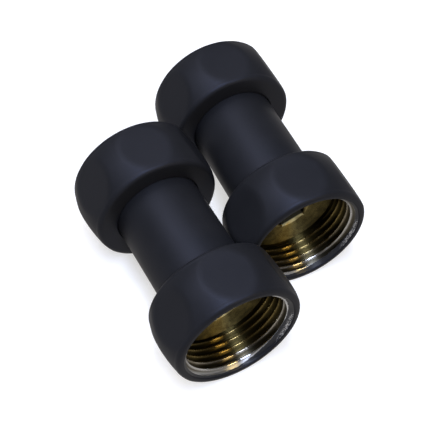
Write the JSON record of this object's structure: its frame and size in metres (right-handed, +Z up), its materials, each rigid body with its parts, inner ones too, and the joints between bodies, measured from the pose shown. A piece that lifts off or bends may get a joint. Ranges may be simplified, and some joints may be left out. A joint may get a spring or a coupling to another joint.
{
  "type": "straight union connector pair",
  "caption": "Straight pipe connectors, each a plain coated barrel with a captive crowned hexagon union nut and a brass seat bush at both ends, laid side by side.",
  "frame": {"origin": "on the surface that the pair stands on, under the middle of the pair's bounding box", "axes": "+Z up; +X along connector 1's axis, from its inlet end to its outlet end; +Y from connector 1 towards connector 2, whose own axis is turned 3 degrees from +X towards -Y"},
  "size_m": [0.07, 0.061, 0.03],
  "materials": {
    "black_coating": "matt black powder coat with a faint blue-grey sheen",
    "brass": "turned brass, lightly grainy",
    "rubber": "smooth black rubber",
    "nylon": "natural off-white nylon"
  },
  "bodies": {
    "connector_1": {"barrel_1": "black_coating", "outlet_bush_1": "brass", "inlet_bush_1": "brass", "outlet_o_ring_1": "rubber", "inlet_o_ring_1": "rubber", "outlet_slip_ring_1": "nylon", "inlet_slip_ring_1": "nylon"},
    "outlet_nut_1": {"outlet_nut_1": "black_coating"},
    "inlet_nut_1": {"inlet_nut_1": "black_coating"},
    "connector_2": {"barrel_2": "black_coating", "outlet_bush_2": "brass", "inlet_bush_2": "brass", "outlet_o_ring_2": "rubber", "inlet_o_ring_2": "rubber", "outlet_slip_ring_2": "nylon", "inlet_slip_ring_2": "nylon"},
    "outlet_nut_2": {"outlet_nut_2": "black_coating"},
    "inlet_nut_2": {"inlet_nut_2": "black_coating"}
  },
  "joints": [
    {"name": "connector_2_slide", "type": "slide", "parent": "connector_1", "child": "connector_2", "axis": [0, 1, 0], "range_m": [0, 0.06]},
    {"name": "outlet_nut_1_turn", "type": "hinge", "parent": "connector_1", "child": "outlet_nut_1", "pos_m": [0.02785, -0.01441, 0.015], "axis": [1, 0, 0], "continuous": true},
    {"name": "inlet_nut_1_turn", "type": "hinge", "parent": "connector_1", "child": "inlet_nut_1", "pos_m": [-0.01115, -0.01441, 0.015], "axis": [-1, 0, 0], "continuous": true},
    {"name": "outlet_nut_2_turn", "type": "hinge", "parent": "connector_2", "child": "outlet_nut_2", "pos_m": [0.01182, 0.01237, 0.015], "axis": [0.9986, -0.0523, 0], "continuous": true},
    {"name": "inlet_nut_2_turn", "type": "hinge", "parent": "connector_2", "child": "inlet_nut_2", "pos_m": [-0.02713, 0.01441, 0.015], "axis": [-0.9986, 0.0523, 0], "continuous": true}
  ]
}
